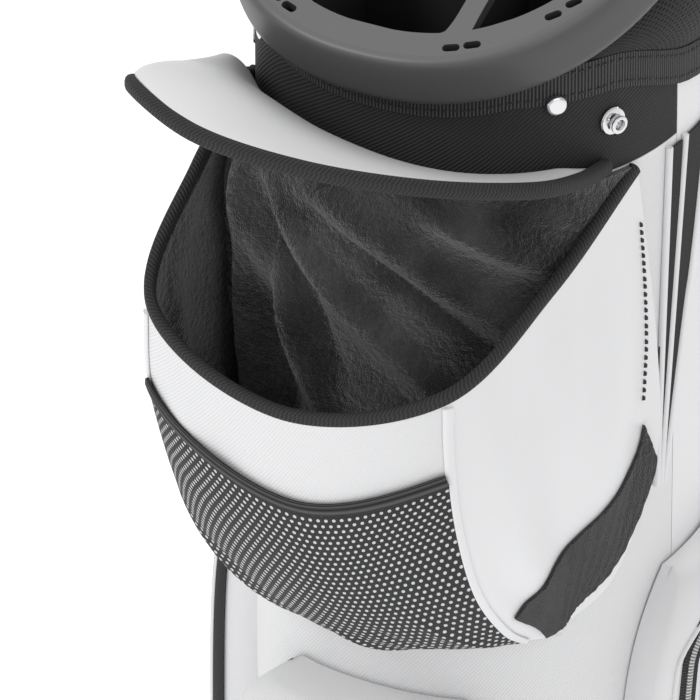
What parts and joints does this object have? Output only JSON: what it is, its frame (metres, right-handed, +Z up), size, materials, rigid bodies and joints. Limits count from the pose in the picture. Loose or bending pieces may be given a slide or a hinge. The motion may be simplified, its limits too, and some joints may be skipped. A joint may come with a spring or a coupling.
{
  "type": "golf bag",
  "caption": "Upright golf bag with a slanted divided top, open fleece-lined front pocket under a hinged lid, mesh pouch, zipped pockets and shoulder strap.",
  "frame": {"origin": "middle of the sole's underside, which stands on the ground", "axes": "+Z up the bag, -Y out of the front with the lidded pocket, +X to the right of somebody facing the front"},
  "size_m": [0.325, 0.5065, 0.9563],
  "materials": {
    "rubber": "moulded, matt",
    "base_plastic": "moulded, fine grain",
    "stay_metal": "drawn rod",
    "collar_plastic": "moulded, matt grey",
    "divider_fabric": "brushed lining on a stiff board",
    "mesh_fabric": "open knit mesh",
    "black_twill": "black twill",
    "trim_webbing": "black grosgrain webbing",
    "black_fleece": "black short-pile fleece",
    "chrome_metal": "polished plating",
    "white_shell": "white coated fabric with fine grain"
  },
  "bodies": {
    "bag": {"base_sole": "rubber", "base_cup": "base_plastic", "stay_left": "stay_metal", "stay_right": "stay_metal", "stay_rear": "stay_metal", "front_panel": "white_shell", "front_band": "black_twill", "webbing_trim": "trim_webbing", "side_panel_left": "white_shell", "mesh_pad_left": "mesh_fabric", "side_panel_right": "white_shell", "mesh_pad_right": "mesh_fabric", "back_panel": "white_shell", "top_collar": "collar_plastic", "divider_cross_front": "divider_fabric", "divider_cross_rear": "divider_fabric", "divider_front_left": "divider_fabric", "divider_front_right": "divider_fabric", "divider_middle_left": "divider_fabric", "divider_middle_right": "divider_fabric", "divider_rear_left": "divider_fabric", "divider_rear_right": "divider_fabric", "pocket_front": "white_shell", "pocket_gusset_left": "white_shell", "pocket_gusset_right": "white_shell", "pocket_liner": "black_fleece", "pocket_back_lining": "black_fleece", "pocket_rim_binding": "black_twill", "mesh_pouch": "mesh_fabric", "mesh_band": "trim_webbing", "pile_strip_left": "black_fleece", "pile_strip_right": "black_fleece", "lid_hinge_web": "white_shell", "side_inset_left": "black_twill", "side_inset_right": "black_twill", "towel_tab": "trim_webbing", "ball_pocket": "white_shell", "side_pocket_left": "white_shell", "side_pocket_right": "white_shell", "hood_stud_left": "chrome_metal", "collar_rivet_left": "chrome_metal", "hood_stud_right": "chrome_metal", "collar_rivet_right": "chrome_metal", "strap_tab_top": "trim_webbing", "strap_ring_top": "chrome_metal", "strap_tab_bottom": "trim_webbing", "strap_ring_bottom": "chrome_metal", "strap_webbing": "trim_webbing", "strap_pad": "black_fleece"},
    "lid": {"lid_panel": "white_shell", "lid_lining": "black_fleece", "lid_binding": "black_twill"},
    "towel_ring": {"towel_ring": "chrome_metal"},
    "side_zip_right_slider": {"side_zip_right_slider": "chrome_metal"},
    "side_zip_right_pull_tab": {"side_zip_right_pull_tab": "rubber"},
    "side_zip_left_slider": {"side_zip_left_slider": "chrome_metal"},
    "side_zip_left_pull_tab": {"side_zip_left_pull_tab": "rubber"},
    "ball_zip_slider": {"ball_zip_slider": "chrome_metal"},
    "ball_zip_pull_tab": {"ball_zip_pull_tab": "rubber"}
  },
  "joints": [
    {"name": "lid_hinge", "type": "hinge", "parent": "bag", "child": "lid", "pos_m": [0, -0.146, 0.729], "axis": [1, 0, 0], "range_deg": [-32, 62]},
    {"name": "side_zip_right_slide", "type": "slide", "parent": "bag", "child": "side_zip_right_slider", "axis": [0, 0, 1], "range_m": [0, 0.19]},
    {"name": "side_zip_right_tab_swing", "type": "hinge", "parent": "side_zip_right_slider", "child": "side_zip_right_pull_tab", "pos_m": [0.15959, -0.0498, 0.182], "axis": [-0.3359, -0.9419, 0], "range_deg": [0, 140]},
    {"name": "side_zip_left_slide", "type": "slide", "parent": "bag", "child": "side_zip_left_slider", "axis": [0, 0, 1], "range_m": [0, 0.19]},
    {"name": "side_zip_left_tab_swing", "type": "hinge", "parent": "side_zip_left_slider", "child": "side_zip_left_pull_tab", "pos_m": [-0.15959, -0.0498, 0.182], "axis": [-0.3359, 0.9419, 0], "range_deg": [0, 140]},
    {"name": "ball_zip_slide", "type": "slide", "parent": "bag", "child": "ball_zip_slider", "axis": [0, 0, -1], "range_m": [0, 0.17]},
    {"name": "ball_zip_tab_swing", "type": "hinge", "parent": "ball_zip_slider", "child": "ball_zip_pull_tab", "pos_m": [0.09028, -0.16053, 0.33], "axis": [-0.7076, -0.7067, 0], "range_deg": [0, 140]},
    {"name": "towel_ring_swing", "type": "hinge", "parent": "bag", "child": "towel_ring", "pos_m": [-0.05434, 0.12955, 0.7], "axis": [0.9272, 0.3746, 0], "range_deg": [0, 105]}
  ]
}
